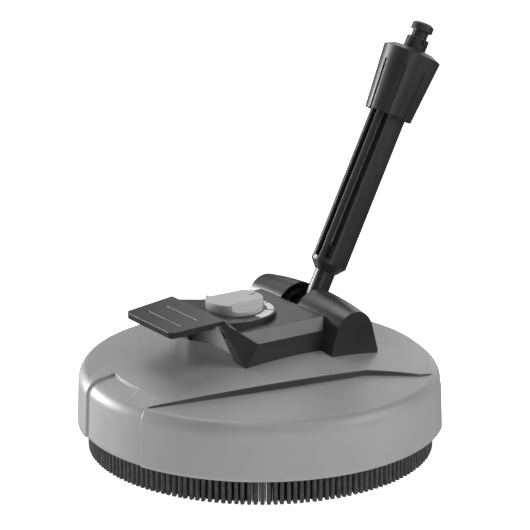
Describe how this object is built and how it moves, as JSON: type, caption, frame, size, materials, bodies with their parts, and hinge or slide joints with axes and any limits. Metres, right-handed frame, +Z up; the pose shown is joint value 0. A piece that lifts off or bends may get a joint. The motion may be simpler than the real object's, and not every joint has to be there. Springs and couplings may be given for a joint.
{
  "type": "surface cleaner",
  "caption": "Round hood with a brush skirt, tilting lance with a bayonet plug, pressure dial, lifting flap and a spray rotor under the hood.",
  "frame": {"origin": "on the rotor axis at the level of the bristle tips", "axes": "+Z up along the rotor axis; -Y the front, where the lifting flap is; +Y the rear, towards which the lance leans; +X the side of the pivot cap"},
  "size_m": [0.3, 0.3205, 0.3336],
  "materials": {
    "hood_plastic": "satin moulded grey plastic",
    "black_plastic": "fine grained black plastic",
    "knob_plastic": "smooth light grey plastic",
    "white_mark": "white inlay",
    "bristle": "stiff nylon filament",
    "inner_plastic": "glass filled nylon",
    "steel": "stainless, turned",
    "brass": "machined",
    "rubber": "moulded nitrile"
  },
  "bodies": {
    "root": {"hood": "hood_plastic", "brush_carrier": "black_plastic", "bristles_outer": "bristle", "bristles_inner": "bristle", "carrier_screws": "steel", "top_cover": "black_plastic", "handle_plate": "black_plastic", "handle_screws": "steel", "dial_marks": "white_mark", "pivot_cap": "black_plastic", "cover_screws": "steel", "valve_body": "brass", "swivel_socket": "inner_plastic", "pivot_bush": "inner_plastic", "bearing_housing": "inner_plastic", "housing_screws": "steel", "bearing_outer_race": "steel", "axle_seal": "rubber", "bearing_clip": "steel", "valve_seat": "steel"},
    "lance": {"swivel_elbow": "black_plastic", "swivel_o_rings": "rubber", "swivel_clip": "steel", "lance_pipe": "inner_plastic", "lance_sleeve": "black_plastic", "bayonet_collar": "black_plastic", "bayonet_plug": "black_plastic", "plug_o_ring": "rubber"},
    "dial": {"pressure_knob": "knob_plastic", "knob_marker": "black_plastic", "valve_spindle": "steel", "spindle_o_ring": "rubber"},
    "rotor": {"rotor_axle": "steel", "bearing_inner_race": "steel", "bearing_balls": "steel", "rotor_hub": "inner_plastic", "hub_nut": "steel", "spray_arm_left": "steel", "spray_arm_right": "steel", "nozzle_holders": "inner_plastic", "nozzles": "brass", "axle_clip": "steel"}
  },
  "joints": [
    {"name": "lance_tilt", "type": "hinge", "parent": "root", "child": "lance", "pos_m": [0, 0.0485, 0.1024], "axis": [1, 0, 0], "range_deg": [-50, 26]},
    {"name": "dial_turn", "type": "hinge", "parent": "root", "child": "dial", "pos_m": [0, -0.0255, 0.1185], "axis": [0, 0, 1], "range_deg": [-75, 15]},
    {"name": "rotor_spin", "type": "hinge", "parent": "root", "child": "rotor", "pos_m": [0, 0, 0.046], "axis": [0, 0, 1], "continuous": true}
  ]
}
